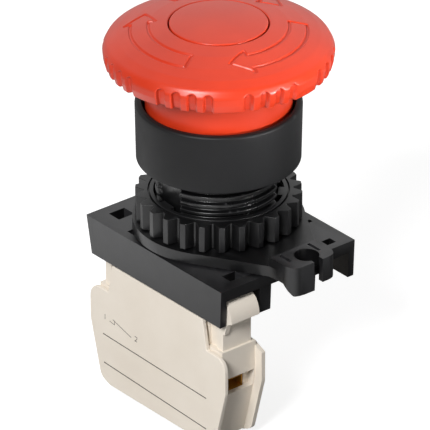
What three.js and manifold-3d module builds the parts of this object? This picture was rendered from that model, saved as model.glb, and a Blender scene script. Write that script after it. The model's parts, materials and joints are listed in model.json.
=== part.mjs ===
// Emergency stop push button: a 40 mm mushroom head in a 22 mm panel operator, with its ring nut,
// locking lever, mounting base and one clip-on contact block.
// Units are millimetres. +Z points out of the panel towards the mushroom head, +X runs along the
// mounting base towards the lever's handle, and the contact block hangs on the -Y side. Heights in this
// file are from the front of the panel, where the bezel rests. The finished button is lowered so that
// its origin is on the axis, in the middle of the head's flat top.
import * as THREE from "three";
import { mergeVertices } from "three/addons/utils/BufferGeometryUtils.js";
import Module from "manifold-3d";

const wasm = await Module();
wasm.setup();

// ---------- driving dimensions ----------
const ROUND = 40; // facets round a full turn of a large piece
const SMALL_ROUND = 16; // facets round a small piece
const GAP = 0.1; // between pieces that rest on each other
const RUN_GAP = 0.3; // between pieces that move past each other

const HEAD_R = 20;
const HEAD_TOP_Z = 26.3;
const RIM_BOTTOM_Z = 18.1;
const PLUG_R = 8.5;
const PLUG_SEAT_Z = 22.6;
const SKIRT_R = 12.7;
const SKIRT_WALL = 1.0;
const SKIRT_BOTTOM_Z = 9.6;
const NOTCH_GROUPS = 8;
const NOTCHES_PER_GROUP = 4;
const NOTCH_PITCH_DEG = 8.3;
const NOTCH_FIRST_GROUP_DEG = -57.2;
const NOTCH_WIDTH = 1.6;
const NOTCH_DEPTH = 0.8;
const NOTCH_TOP_Z = 21.2;

const BEZEL_R = 14.5;
const BEZEL_FOOT_R = 14.3;
const BEZEL_H = 10.9;
const BEZEL_BORE_R = 13.3;
const BEZEL_FLOOR = 2.2;
const SEAL_Z0 = 8.3;
const SEAL_Z1 = 9.5;

const THREAD_R = 11;
const THREAD_DEPTH = 0.8;
const THREAD_PITCH = 1.5;
const BARREL_BORE_R = 9.4;
const BARREL_BOTTOM_Z = -16.2;
const KEYWAY_DEG = [-95, 45];
const KEYWAY_WIDTH = 7;
const KEYWAY_FLOOR_R = 9.9;

const NUT_TEETH = 26;
const NUT_PHASE_DEG = 4.3;
const NUT_R = 14.5;
const NUT_ROOT_R = 12.95;
const NUT_TOP_Z = -6.5;
const NUT_BOTTOM_Z = -11.3;
const TOOTH_FACE = 1; // width of a tooth's outer face
const TOOTH_FLANK = 0.9; // how far each flank leans sideways
const WASHER_R = 12;
const WASHER_T = 0.6;

const LEVER_R = 15;
const LEVER_TOP_Z = -11.6;
const LEVER_T = 2;
const LEVER_TANGENT_DEG = 54; // where the handle's sides leave the ring
const HANDLE_TOP_Z = -10;
const HANDLE_BOTTOM_Z = -15.5;
const HANDLE_START_X = 19.9;
const HANDLE_END_X = 26;
const HANDLE_ROOT_HALF = 5.3;
const HANDLE_HALF = 5.05; // at the waist of the grip

const BASE_X0 = -18;
const BASE_X1 = 18.8;
const BASE_HALF_Y = 15;
const BASE_TOP_Z = -13.9;
const BASE_BOTTOM_Z = -21;
const BASE_PLATE = 2.2;
const BASE_WALL = 1.3;
const BAY_PITCH = 10;
const RIB_T = 2.5;

const BLOCK_X = 1.2; // centre of the contact block along the base
const BLOCK_Y0 = -14.9; // outer face of the cover
const BLOCK_Y1 = -5.9; // outer face of the rear plate
const BLOCK_BOTTOM_Z = -45.5;
const BLOCK_SHOULDER_Z = -27;
const BLOCK_TAPER_Z = -33.8; // the sides lean inwards below this height
const BLOCK_TAPER = 2.9;
const BLOCK_HALF = 18.5;
const BLOCK_NECK_HALF = 13.5;
const BLOCK_TOP_Z = BASE_BOTTOM_Z - 0.3;
const COVER_T = 0.8;
const REAR_PLATE_T = 0.8;
const BODY_RECESS = 1.8; // the ends of the block's body stand back from its side plates
const BODY_TOP_Z = -26.5;
const LATCH_X0 = 15.7;
const NECK_HALF = 12.6; // of the block's body, in the bay
const BODY_Y0 = BLOCK_Y0 + COVER_T + GAP;
const BODY_Y1 = BLOCK_Y1 - REAR_PLATE_T;
const NECK_TOP_Z = -18;
const CAVITY_Y1 = -8; // back wall of the rooms inside the block
const CONTACT_Y = -10.9; // middle of the current path
const HALF_STRIP = 1.7;
const STRIP_TOP_Z = -32.4;
const STRIP_T = 0.6;
const BRIDGE_TOP_Z = -34.5;
const BRIDGE_T = 0.6;
const TIP_OFFSET = 4.6;
const TERMINAL_OFFSET = 11.4; // terminal screw to the block's centre
const CLAMP_TOP_Z = -35.3;
const CLAMP_T = 0.8;
const CLAMP_HALF = 2.6;
const WINDOW_TOP_Z = -32;
const CHAMBER_BOTTOM_Z = -44.3; // floor of the contact chamber

const SPINDLE_R = 3.5;
const SPINDLE_TOP_Z = 13.7;
const GUIDE_FLANGE_Z = 7.9;
const GUIDE_FLANGE_T = 1.5;
const SHELF_TOP_Z = -4; // where the return spring stands in the barrel
const PUSHER_TOP_Z = BARREL_BOTTOM_Z - RUN_GAP;
const PUSHER_T = 1.8;
const PAWL_Z = -7.7;
const PAWL_TIP_R = 3.9;
const PAWL_TAIL_R = 7.9;

// ---------- materials ----------
const plastic = (color, roughness) => new THREE.MeshStandardMaterial({ color, roughness, metalness: 0 });
const metal = (color, roughness) => new THREE.MeshStandardMaterial({ color, roughness, metalness: 1 });
const redPlastic = plastic(0xe44b34, 0.4);
const blackPlastic = plastic(0x1c1c1e, 0.5);
const creamPlastic = plastic(0xf0e6d6, 0.5);
const rubber = plastic(0x111112, 0.85);
const steel = metal(0xb9bcc0, 0.35);
const brass = metal(0xb07a28, 0.4);
const silver = metal(0xd8d8d4, 0.3);

// ---------- geometry helpers ----------
const rad = THREE.MathUtils.degToRad;

// A closed solid for joining and cutting, from any closed three.js geometry.
function solid(geometry) {
  const bare = new THREE.BufferGeometry();
  bare.setAttribute("position", geometry.getAttribute("position"));
  bare.setIndex(geometry.index);
  const merged = mergeVertices(bare, 1e-4);
  return new wasm.Manifold(
    new wasm.Mesh({
      numProp: 3,
      vertProperties: merged.attributes.position.array,
      triVerts: new Uint32Array(merged.index.array),
    }),
  );
}

function box(x0, x1, y0, y1, z0, z1) {
  const g = new THREE.BoxGeometry(x1 - x0, y1 - y0, z1 - z0);
  return solid(g.translate((x0 + x1) / 2, (y0 + y1) / 2, (z0 + z1) / 2));
}

// A solid of revolution about Z from a closed profile of [radius, z] points, anticlockwise in (r, z).
function turned(profile, facets = ROUND) {
  const points = profile.map(([r, z]) => new THREE.Vector2(r, z));
  const onAxis = profile[0][0] === 0 && profile.at(-1)[0] === 0;
  if (!onAxis) points.push(points[0].clone());
  const g = new THREE.LatheGeometry(points, facets);
  return solid(g.rotateX(Math.PI / 2));
}

function ring(inner, outer, z0, z1, facets = ROUND) {
  return turned([[inner, z0], [outer, z0], [outer, z1], [inner, z1]], facets);
}

function disc(r, z0, z1, facets = ROUND) {
  return turned([[0, z0], [r, z0], [r, z1], [0, z1]], facets);
}

function outline(points) {
  return new THREE.Shape(points.map(([a, b]) => new THREE.Vector2(a, b)));
}

// A flat outline in (x, y), raised along Z.
function raised(shape, z0, z1, curveSegments = 8) {
  const g = new THREE.ExtrudeGeometry(shape, { depth: z1 - z0, bevelEnabled: false, curveSegments });
  return solid(g.translate(0, 0, z0));
}

// A flat outline in (x, z), raised along Y.
function raisedAlongY(shape, y0, y1, curveSegments = 8) {
  const g = new THREE.ExtrudeGeometry(shape, { depth: y1 - y0, bevelEnabled: false, curveSegments });
  return solid(g.rotateX(Math.PI / 2).translate(0, y1, 0));
}

// A coil about an axis parallel to Z through (x, y).
function coil(radius, wireR, z0, z1, turns, stepsPerTurn, x = 0, y = 0) {
  class Helix extends THREE.Curve {
    getPoint(t, target = new THREE.Vector3()) {
      const angle = 2 * Math.PI * turns * t;
      const z = z0 + wireR + (z1 - z0 - 2 * wireR) * t;
      return target.set(x + radius * Math.cos(angle), y + radius * Math.sin(angle), z);
    }
  }
  const section = new THREE.Shape();
  section.absarc(0, 0, wireR, 0, 2 * Math.PI);
  const steps = Math.round(turns * stepsPerTurn);
  const g = new THREE.ExtrudeGeometry(section, { steps, extrudePath: new Helix(), curveSegments: 3 });
  return solid(g);
}

function turnedTo(body, degrees) {
  return body.rotate([0, 0, degrees]);
}

// ---------- assembly group ----------
const button = new THREE.Group();
button.name = "emergency_stop_button";
const assembly = new THREE.Group();
assembly.position.z = -HEAD_TOP_Z;
button.add(assembly);

function addPiece(name, body, material) {
  const mesh = body.getMesh();
  const stride = mesh.numProp;
  const positions = new Float32Array(mesh.numVert * 3);
  for (let i = 0; i < mesh.numVert; i++) {
    positions.set(mesh.vertProperties.subarray(i * stride, i * stride + 3), i * 3);
  }
  const g = new THREE.BufferGeometry();
  g.setAttribute("position", new THREE.BufferAttribute(positions, 3));
  g.setIndex(new THREE.BufferAttribute(mesh.triVerts, 1));
  g.computeVertexNormals();
  const piece = new THREE.Mesh(g, material.clone());
  piece.name = name;
  assembly.add(piece);
}

// ---------- head ----------
function mushroomHead() {
  const hubR = 6;
  const hubBottomZ = SPINDLE_TOP_Z + GAP;
  const screwHoleR = 1.8;
  const roofZ = 20.2;
  const innerSkirtR = SKIRT_R - SKIRT_WALL;
  let head = turned([
    [screwHoleR, hubBottomZ],
    [hubR, hubBottomZ],
    [hubR, roofZ],
    [innerSkirtR, roofZ - 0.6],
    [innerSkirtR, SKIRT_BOTTOM_Z],
    [SKIRT_R, SKIRT_BOTTOM_Z],
    [SKIRT_R, RIM_BOTTOM_Z + 1.6],
    [HEAD_R - 2.2, RIM_BOTTOM_Z + 1.2],
    [HEAD_R - 1.7, RIM_BOTTOM_Z],
    [HEAD_R - 0.6, RIM_BOTTOM_Z],
    [HEAD_R - 0.15, 19.6],
    [HEAD_R, 21],
    [19.3, 22.2],
    [17.5, 23.3],
    [15, 24.3],
    [12, 25.1],
    [PLUG_R + 0.2, 25.65],
    [PLUG_R + 0.2, PLUG_SEAT_Z],
    [screwHoleR, PLUG_SEAT_Z],
  ], 48);
  const cutter = box(HEAD_R - NOTCH_DEPTH, HEAD_R + 1, -NOTCH_WIDTH / 2, NOTCH_WIDTH / 2,
    RIM_BOTTOM_Z - 1, NOTCH_TOP_Z);
  for (let group = 0; group < NOTCH_GROUPS; group++) {
    for (let i = 0; i < NOTCHES_PER_GROUP; i++) {
      const inGroup = (i - (NOTCHES_PER_GROUP - 1) / 2) * NOTCH_PITCH_DEG;
      const angle = NOTCH_FIRST_GROUP_DEG + (360 / NOTCH_GROUPS) * group + inGroup;
      head = head.subtract(turnedTo(cutter, angle));
    }
  }
  return head;
}

function centrePlug() {
  const seatZ = PLUG_SEAT_Z + GAP;
  const hollowR = 3.2;
  const hollowTopZ = seatZ + 1.9;
  return turned([
    [0, hollowTopZ],
    [hollowR, hollowTopZ],
    [hollowR, seatZ],
    [PLUG_R, seatZ],
    [PLUG_R, HEAD_TOP_Z - 0.6],
    [6.5, HEAD_TOP_Z - 0.2],
    [5.5, HEAD_TOP_Z],
    [0, HEAD_TOP_Z],
  ]);
}

function headScrew() {
  const shankR = 1.4;
  const headR = 2.8;
  const headBottomZ = PLUG_SEAT_Z + GAP;
  const headTopZ = headBottomZ + 1.7;
  const tipZ = SPINDLE_TOP_Z - 6;
  const screw = disc(shankR, tipZ, headBottomZ + 0.2, SMALL_ROUND)
    .add(disc(headR, headBottomZ, headTopZ, SMALL_ROUND));
  return screw.subtract(box(-headR, headR, -0.3, 0.3, headTopZ - 0.7, headTopZ + 1));
}

// The spindle turns with the head. Its cone pushes the two lock pawls outwards as it goes down.
function spindle() {
  const coneTopR = 4.6;
  const coneTopZ = -0.9;
  const coneFootZ = -6.4;
  const tailR = 2.5;
  const grooveR = 2;
  const shoulderZ = BARREL_BOTTOM_Z;
  const clipTopZ = PUSHER_TOP_Z - PUSHER_T - GAP;
  const tailZ = clipTopZ - 1.6;
  const screwHoleR = 1.6;
  const screwHoleZ = SPINDLE_TOP_Z - 6.5;
  return turned([
    [0, tailZ],
    [tailR, tailZ],
    [tailR, clipTopZ - 0.8],
    [grooveR, clipTopZ - 0.8],
    [grooveR, clipTopZ],
    [tailR, clipTopZ],
    [tailR, shoulderZ],
    [SPINDLE_R, shoulderZ],
    [SPINDLE_R, coneFootZ],
    [coneTopR, coneTopZ],
    [SPINDLE_R, coneTopZ + 1.2],
    [SPINDLE_R, SPINDLE_TOP_Z],
    [screwHoleR, SPINDLE_TOP_Z],
    [screwHoleR, screwHoleZ],
    [0, screwHoleZ],
  ], 24);
}

// The guide sleeve slides in the barrel without turning and carries the return spring.
function guideSleeve() {
  const innerR = SPINDLE_R + RUN_GAP;
  const tubeR = 5;
  const tubeBottomZ = 2.2;
  return turned([
    [innerR, tubeBottomZ],
    [tubeR, tubeBottomZ],
    [tubeR, GUIDE_FLANGE_Z],
    [BARREL_BORE_R - RUN_GAP, GUIDE_FLANGE_Z],
    [BARREL_BORE_R - RUN_GAP, GUIDE_FLANGE_Z + GUIDE_FLANGE_T],
    [innerR, GUIDE_FLANGE_Z + GUIDE_FLANGE_T],
  ], 32);
}

function returnSpring() {
  return coil(7, 0.5, SHELF_TOP_Z + GAP, GUIDE_FLANGE_Z - GAP, 5, 14);
}

function resetSpring() {
  return coil(4.9, 0.4, GUIDE_FLANGE_Z + GUIDE_FLANGE_T + GAP, SPINDLE_TOP_Z - 0.4, 3.5, 14);
}

// ---------- operator body ----------
function bezel() {
  const grooveR = 13.8;
  const gasketSeat = 1;
  const floorHoleR = THREAD_R + 0.2;
  const gasketGrooveR = 13.2;
  return turned([
    [gasketGrooveR, 0],
    [BEZEL_FOOT_R - 0.3, 0],
    [BEZEL_FOOT_R, 0.3],
    [BEZEL_R, BEZEL_H - 0.7],
    [BEZEL_R - 0.2, BEZEL_H - 0.2],
    [BEZEL_R - 0.7, BEZEL_H],
    [BEZEL_BORE_R, BEZEL_H],
    [BEZEL_BORE_R, SEAL_Z1 + GAP],
    [grooveR, SEAL_Z1 + GAP],
    [grooveR, SEAL_Z0 - GAP],
    [BEZEL_BORE_R, SEAL_Z0 - GAP],
    [BEZEL_BORE_R, BEZEL_FLOOR],
    [floorHoleR, BEZEL_FLOOR],
    [floorHoleR, gasketSeat],
    [gasketGrooveR, gasketSeat],
  ], 48);
}

function skirtSeal() {
  const lipR = SKIRT_R + RUN_GAP;
  return ring(lipR, 13.7, SEAL_Z0, SEAL_Z1);
}

function panelGasket() {
  return ring(THREAD_R + 0.35, 13.1, -0.3, 0.9);
}

// Tube with an outside thread, a flange that rests on the bezel's floor, and an inner web that
// carries the return spring and guides the two lock pawls.
function threadedBarrel() {
  const flangeR = 12.9;
  const flangeZ = BEZEL_FLOOR + GAP;
  const flangeTopZ = flangeZ + 1.4;
  const rootR = THREAD_R - THREAD_DEPTH;
  const firstCrestZ = -1.26;
  const profile = [[BARREL_BORE_R, BARREL_BOTTOM_Z], [rootR, BARREL_BOTTOM_Z]];
  const crests = Math.floor((firstCrestZ - BARREL_BOTTOM_Z) / THREAD_PITCH);
  for (let i = crests; i >= 0; i--) {
    const crestZ = firstCrestZ - THREAD_PITCH * i;
    profile.push([rootR, crestZ - 0.6], [THREAD_R, crestZ], [rootR, crestZ + 0.6]);
  }
  profile.push([rootR, flangeZ], [flangeR, flangeZ], [flangeR, flangeTopZ], [BARREL_BORE_R, flangeTopZ]);
  let barrel = turned(profile, 36);
  for (const angle of KEYWAY_DEG) {
    const keyway = box(KEYWAY_FLOOR_R, THREAD_R + 1, -KEYWAY_WIDTH / 2, KEYWAY_WIDTH / 2,
      BARREL_BOTTOM_Z - 1, -0.9);
    barrel = barrel.subtract(turnedTo(keyway, angle));
  }
  const webBottomZ = -10.5;
  const webBoreR = 5.4;
  barrel = barrel.add(ring(webBoreR, BARREL_BORE_R + 0.2, webBottomZ, SHELF_TOP_Z, 32));
  const pocketEndR = 9.2;
  const pocket = box(5, pocketEndR, -1.8, 1.8, PAWL_Z - 1.4, PAWL_Z + 1.4);
  return barrel.subtract(pocket).subtract(turnedTo(pocket, 180));
}

// A pawl slides radially in its pocket; a blind hole in its tail takes the pawl spring.
function lockPawl(angle) {
  const halfWide = 1.5;
  const halfHigh = 1.2;
  const holeR = 0.85;
  const holeDepth = 1.5;
  let pawl = box(PAWL_TIP_R, PAWL_TAIL_R, -halfWide, halfWide, PAWL_Z - halfHigh, PAWL_Z + halfHigh);
  const hole = new THREE.CylinderGeometry(holeR, holeR, 2 * holeDepth, SMALL_ROUND);
  hole.rotateZ(Math.PI / 2).translate(PAWL_TAIL_R, 0, PAWL_Z);
  pawl = pawl.subtract(solid(hole));
  return turnedTo(pawl, angle);
}

function pawlSpring(angle) {
  const spring = coil(0.45, 0.15, PAWL_TAIL_R - 0.5, 9.1, 3, 8);
  return turnedTo(spring.rotate([0, 90, 0]).translate([0, 0, PAWL_Z]), angle);
}

// ---------- fixing behind the panel ----------
// The nut's teeth have leaning flanks, and a recess in its top holds the thrust washer.
function ringNut() {
  const pitch = (2 * Math.PI) / NUT_TEETH;
  const halfFace = TOOTH_FACE / 2 / NUT_R;
  const halfFoot = (TOOTH_FACE / 2 + TOOTH_FLANK) / NUT_ROOT_R;
  const points = [];
  for (let i = 0; i < NUT_TEETH; i++) {
    const middle = pitch * i + rad(NUT_PHASE_DEG);
    const corners = [[NUT_ROOT_R, -halfFoot], [NUT_R, -halfFace], [NUT_R, halfFace], [NUT_ROOT_R, halfFoot]];
    for (const [r, offset] of corners) {
      points.push([r * Math.cos(middle + offset), r * Math.sin(middle + offset)]);
    }
  }
  const bore = disc(THREAD_R + 0.25, NUT_BOTTOM_Z - 1, NUT_TOP_Z + 1);
  const recess = disc(WASHER_R + RUN_GAP, NUT_TOP_Z - WASHER_T, NUT_TOP_Z + 1);
  return raised(outline(points), NUT_BOTTOM_Z, NUT_TOP_Z).subtract(bore).subtract(recess);
}

// Washer between the nut and the panel; its two tongues run in the barrel's keyways.
function thrustWasher() {
  const z0 = NUT_TOP_Z - WASHER_T + GAP;
  const z1 = z0 + WASHER_T;
  const halfTongue = 1.5;
  let washer = ring(THREAD_R + 0.3, WASHER_R, z0, z1);
  for (const angle of KEYWAY_DEG) {
    const tongue = box(KEYWAY_FLOOR_R + RUN_GAP + 0.1, THREAD_R + 0.6, -halfTongue, halfTongue, z0, z1);
    washer = washer.add(turnedTo(tongue, angle));
  }
  return washer;
}

// ---------- locking lever ----------
// Ring plate whose sides run on, tangent to the ring, to the foot of the handle.
function leverPlate() {
  const tangent = rad(LEVER_TANGENT_DEG);
  const tangentX = LEVER_R * Math.cos(tangent);
  const tangentY = LEVER_R * Math.sin(tangent);
  const plateEndX = 23.2;
  const plateEndHalf = HANDLE_HALF - 0.15;
  const plate = new THREE.Shape();
  plate.moveTo(tangentX, -tangentY);
  plate.lineTo(HANDLE_START_X, -HANDLE_ROOT_HALF);
  plate.lineTo(plateEndX, -plateEndHalf);
  plate.lineTo(plateEndX, plateEndHalf);
  plate.lineTo(HANDLE_START_X, HANDLE_ROOT_HALF);
  plate.lineTo(tangentX, tangentY);
  plate.absarc(0, 0, LEVER_R, tangent, 2 * Math.PI - tangent, false);
  return raised(plate, LEVER_TOP_Z - LEVER_T, LEVER_TOP_Z, 16);
}

// Raised grip with a waist in each side and rounded outer corners.
function leverHandle() {
  const waistX = 21.5;
  const cornerX = 23.9;
  const curveX = HANDLE_END_X - 0.4;
  const endHalf = 3;
  const handle = new THREE.Shape();
  handle.moveTo(HANDLE_START_X, -HANDLE_ROOT_HALF);
  handle.quadraticCurveTo(waistX - 0.8, -HANDLE_HALF, waistX, -HANDLE_HALF);
  handle.lineTo(cornerX, -HANDLE_HALF);
  handle.quadraticCurveTo(curveX, -HANDLE_HALF, HANDLE_END_X, -endHalf);
  handle.lineTo(HANDLE_END_X, endHalf);
  handle.quadraticCurveTo(curveX, HANDLE_HALF, cornerX, HANDLE_HALF);
  handle.lineTo(waistX, HANDLE_HALF);
  handle.quadraticCurveTo(waistX - 0.8, HANDLE_HALF, HANDLE_START_X, HANDLE_ROOT_HALF);
  return raised(handle, HANDLE_BOTTOM_Z, HANDLE_TOP_Z, 4);
}

function lockingLever() {
  const plateBottomZ = LEVER_TOP_Z - LEVER_T;
  const lipX = HANDLE_END_X - 0.6;
  const innerX = 18;
  const underCut = outline([[innerX, plateBottomZ], [23.4, plateBottomZ], [lipX, HANDLE_BOTTOM_Z],
    [lipX, HANDLE_BOTTOM_Z - 1], [innerX, HANDLE_BOTTOM_Z - 1]]);
  const shortSide = box(innerX, HANDLE_END_X + 1, 0, 8, HANDLE_BOTTOM_Z - 1, HANDLE_BOTTOM_Z + 1);
  const handle = leverHandle().subtract(raisedAlongY(underCut, -8, 8)).subtract(shortSide);
  let lever = leverPlate().add(handle);
  lever = lever.subtract(disc(THREAD_R + 0.3, plateBottomZ - 1, LEVER_TOP_Z + 1));
  const holeX = 23.1;
  const holeR = 2.2;
  const holeY = 0.4;
  const slitY0 = -0.3;
  const slitY1 = 1.6;
  const clipHole = disc(holeR, HANDLE_BOTTOM_Z - 1, HANDLE_TOP_Z + 1, 24).translate([holeX, holeY, 0]);
  const slit = box(holeX, HANDLE_END_X + 1, slitY0, slitY1, HANDLE_BOTTOM_Z - 1, HANDLE_TOP_Z + 1);
  lever = lever.subtract(clipHole).subtract(slit);
  const slotY = 3.2;
  const slotHalf = 0.3;
  for (const y of [-slotY, slotY]) {
    lever = lever.subtract(box(20.2, 23.2, y - slotHalf, y + slotHalf, LEVER_TOP_Z, HANDLE_TOP_Z + 1));
  }
  return lever;
}

// ---------- mounting base ----------
function mountingBase() {
  const lean = 1.4; // the closed end leans inwards towards the bottom
  const plateBottomZ = BASE_TOP_Z - BASE_PLATE;
  const side = outline([[BASE_X0, BASE_TOP_Z], [BASE_X0 + lean, BASE_BOTTOM_Z],
    [BASE_X1 - 0.3, BASE_BOTTOM_Z], [BASE_X1, BASE_TOP_Z]]);
  let base = raisedAlongY(side, -BASE_HALF_Y, BASE_HALF_Y);
  const ribHalf = RIB_T / 2;
  for (let bay = -1; bay <= 1; bay++) {
    const y0 = bay === -1 ? -BASE_HALF_Y + BASE_WALL : bay * BAY_PITCH - BAY_PITCH / 2 + ribHalf;
    const y1 = bay === 1 ? BASE_HALF_Y - BASE_WALL : bay * BAY_PITCH + BAY_PITCH / 2 - ribHalf;
    base = base.subtract(box(BASE_X0 + lean + BASE_WALL, BASE_X1 + 1, y0, y1,
      BASE_BOTTOM_Z - 1, plateBottomZ));
  }
  // passages for the barrel and for the pusher bar's stroke
  base = base.subtract(disc(THREAD_R + 0.4, BARREL_BOTTOM_Z - RUN_GAP, BASE_TOP_Z + 1));
  base = base.subtract(box(-3, 3, -13, 13, BASE_BOTTOM_Z - 1, plateBottomZ + 0.1));
  // tool and clip slots in the top plate, each [x0, x1, y0, y1]
  const slots = [
    [-15.7, -12.9, -11.8, -8.4],
    [-15.7, -12.9, 8.4, 11.8],
    [14.3, 16.6, -11.1, -8.2],
    [15.6, 17.3, 10.1, 12],
    [-8.6, -6.6, -13.4, -12],
    [-8.6, -6.6, 12, 13.4],
    [8.2, 9, 12.9, 13.7],
  ];
  for (const [x0, x1, y0, y1] of slots) {
    base = base.subtract(box(x0, x1, y0, y1, plateBottomZ - 1, BASE_TOP_Z + 1));
  }
  return base;
}

// ---------- pusher ----------
function pusherBar() {
  const halfLength = 12;
  const z0 = PUSHER_TOP_Z - PUSHER_T;
  let bar = box(-2.4, 2.4, -halfLength, halfLength, z0, PUSHER_TOP_Z);
  bar = bar.add(disc(4.6, z0, PUSHER_TOP_Z, 24));
  return bar.subtract(disc(2.8, z0 - 1, PUSHER_TOP_Z + 1, 24));
}

function pusherClip() {
  const z1 = PUSHER_TOP_Z - PUSHER_T - 0.2;
  const clip = ring(2.2, 3.9, z1 - 0.6, z1, 24);
  return clip.subtract(box(0, 5, -1.2, 1.2, z1 - 1, z1 + 1));
}

// ---------- contact block ----------
// Outline of a side plate of the block in (x, z): a neck, two shoulders and tapering sides.
function plateOutline() {
  const foot = BLOCK_HALF - BLOCK_TAPER;
  const left = BLOCK_X - BLOCK_HALF;
  const right = BLOCK_X + BLOCK_HALF;
  const shoulder = BLOCK_SHOULDER_Z;
  const round = 2.4;
  const roundZ = 1.8;
  const footRound = 2.4;
  const footZ = BLOCK_BOTTOM_Z + 1.5;
  const shape = new THREE.Shape();
  shape.moveTo(BLOCK_X - BLOCK_NECK_HALF, BLOCK_TOP_Z);
  shape.lineTo(BLOCK_X - BLOCK_NECK_HALF, shoulder);
  shape.lineTo(left + round, shoulder);
  shape.quadraticCurveTo(left, shoulder, left, shoulder - roundZ);
  shape.lineTo(left, BLOCK_TAPER_Z);
  shape.lineTo(BLOCK_X - foot, footZ);
  shape.quadraticCurveTo(BLOCK_X - foot + 0.3, BLOCK_BOTTOM_Z, BLOCK_X - foot + footRound, BLOCK_BOTTOM_Z);
  shape.lineTo(BLOCK_X + foot - footRound, BLOCK_BOTTOM_Z);
  shape.quadraticCurveTo(BLOCK_X + foot - 0.3, BLOCK_BOTTOM_Z, BLOCK_X + foot, footZ);
  shape.lineTo(right, BLOCK_TAPER_Z);
  shape.lineTo(right, shoulder - roundZ);
  shape.quadraticCurveTo(right, shoulder, right - round, shoulder);
  shape.lineTo(BLOCK_X + BLOCK_NECK_HALF, shoulder);
  shape.lineTo(BLOCK_X + BLOCK_NECK_HALF, BLOCK_TOP_Z);
  return shape;
}

// The clip at the open end of the bay: a thin blade whose snap head rounds over in one curve.
function latchBlade() {
  const x1 = 17.4;
  const noseX = 19.7;
  const noseZ = -20.3;
  const crownX = 16.6;
  const crownZ = -16.45;
  const shape = new THREE.Shape();
  shape.moveTo(LATCH_X0, BODY_TOP_Z - 1);
  shape.lineTo(x1, BODY_TOP_Z - 1);
  shape.lineTo(x1, -21.4);
  shape.lineTo(noseX, noseZ);
  shape.absellipse(crownX, noseZ, noseX - crownX, crownZ - noseZ, 0, Math.PI / 2, false, 0);
  shape.lineTo(LATCH_X0, crownZ - 0.45);
  return raisedAlongY(shape, -13.4, -7.2, 6);
}

// Solid body between the side plates, with a neck and a latch that reach up into the base's bay.
function blockShell() {
  const bodyHalf = BLOCK_HALF - BODY_RECESS;
  const footHalf = bodyHalf - BLOCK_TAPER;
  const footZ = BLOCK_BOTTOM_Z + 0.4;
  const body = outline([
    [BLOCK_X - bodyHalf, BODY_TOP_Z], [BLOCK_X - bodyHalf, BLOCK_TAPER_Z], [BLOCK_X - footHalf, footZ],
    [BLOCK_X + footHalf, footZ], [BLOCK_X + bodyHalf, BLOCK_TAPER_Z], [BLOCK_X + bodyHalf, BODY_TOP_Z],
  ]);
  const neckY0 = BODY_Y0 + 0.5;
  const neckFootZ = BODY_TOP_Z - 1;
  const leftX = BLOCK_X - NECK_HALF;
  const rightX = BLOCK_X + NECK_HALF;
  return raisedAlongY(body, BODY_Y0, BODY_Y1 + 0.2)
    .add(raisedAlongY(plateOutline(), BODY_Y1, BLOCK_Y1, 3))
    .add(box(leftX, rightX, neckY0, BODY_Y1 - 0.2, neckFootZ, NECK_TOP_Z))
    .add(box(-14.6, -13, neckY0, -7.2, neckFootZ, NECK_TOP_Z)) // rib at the closed end
    .add(box(rightX - 1, LATCH_X0 + 0.2, BODY_Y0 + 1, -7.2, neckFootZ, NECK_TOP_Z - 0.2))
    .add(latchBlade())
    .add(box(-3, 5, -13, -9, BLOCK_BOTTOM_Z - 0.6, BLOCK_BOTTOM_Z + 1)); // bottom lug
}

function blockHousing() {
  const open = BODY_Y0 - 1; // the rooms are open towards the cover
  const wall = 1.2;
  const chamberHalf = 7.6;
  const channelHalf = 2;
  const coreX = 4.6;
  const pusherRoom = box(-3.6, 3.6, -15, -4, -24.4, -17);
  let housing = blockShell().subtract(pusherRoom);
  const rooms = [
    box(BLOCK_X - channelHalf, BLOCK_X + channelHalf, open, CAVITY_Y1, -31, -23),
    box(BLOCK_X - chamberHalf, BLOCK_X + chamberHalf, open, CAVITY_Y1, CHAMBER_BOTTOM_Z, -28.6),
    box(BLOCK_X - NECK_HALF + wall, BLOCK_X - coreX, open, CAVITY_Y1, -27, NECK_TOP_Z - wall),
    box(BLOCK_X + coreX, BLOCK_X + NECK_HALF - wall, open, CAVITY_Y1, -27, NECK_TOP_Z - wall),
  ];
  for (const side of [-1, 1]) {
    // slot for the contact strip, terminal chamber, wire entry and screwdriver hole
    const stripZ0 = STRIP_TOP_Z - STRIP_T - 0.2;
    const clampFootZ = CLAMP_TOP_Z - CLAMP_T - 0.2;
    rooms.push(endRoom(side, 7, 9, open, CAVITY_Y1, stripZ0, STRIP_TOP_Z + 0.2));
    rooms.push(endRoom(side, 8.5, 15.3, open, CAVITY_Y1, clampFootZ, -27.5));
    rooms.push(endRoom(side, 8.5, 14.4, open, CAVITY_Y1, clampFootZ - 3.1, clampFootZ + 1));
    rooms.push(endRoom(side, 15, 18, BODY_Y0 + 0.2, BODY_Y1 - 0.2, CLAMP_TOP_Z, WINDOW_TOP_Z));
    const hole = disc(2.3, BLOCK_BOTTOM_Z - 1, clampFootZ - 2.8, SMALL_ROUND);
    rooms.push(hole.translate([BLOCK_X + side * TERMINAL_OFFSET, CONTACT_Y, 0]));
  }
  for (const room of rooms) housing = housing.subtract(room);
  return housing;
}

// A room near one end of the block, from inner to outer along X from the block's centre.
function endRoom(side, inner, outer, y0, y1, z0, z1) {
  const ends = [BLOCK_X + side * inner, BLOCK_X + side * outer];
  return box(Math.min(...ends), Math.max(...ends), y0, y1, z0, z1);
}

function blockCover() {
  return raisedAlongY(plateOutline(), BLOCK_Y0, BLOCK_Y0 + COVER_T, 3);
}

function plunger() {
  const topZ = PUSHER_TOP_Z - PUSHER_T - RUN_GAP;
  const half = 1.6;
  return box(BLOCK_X - half, BLOCK_X + half, CONTACT_Y - half, CONTACT_Y + half, BRIDGE_TOP_Z + GAP, topZ);
}

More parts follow.
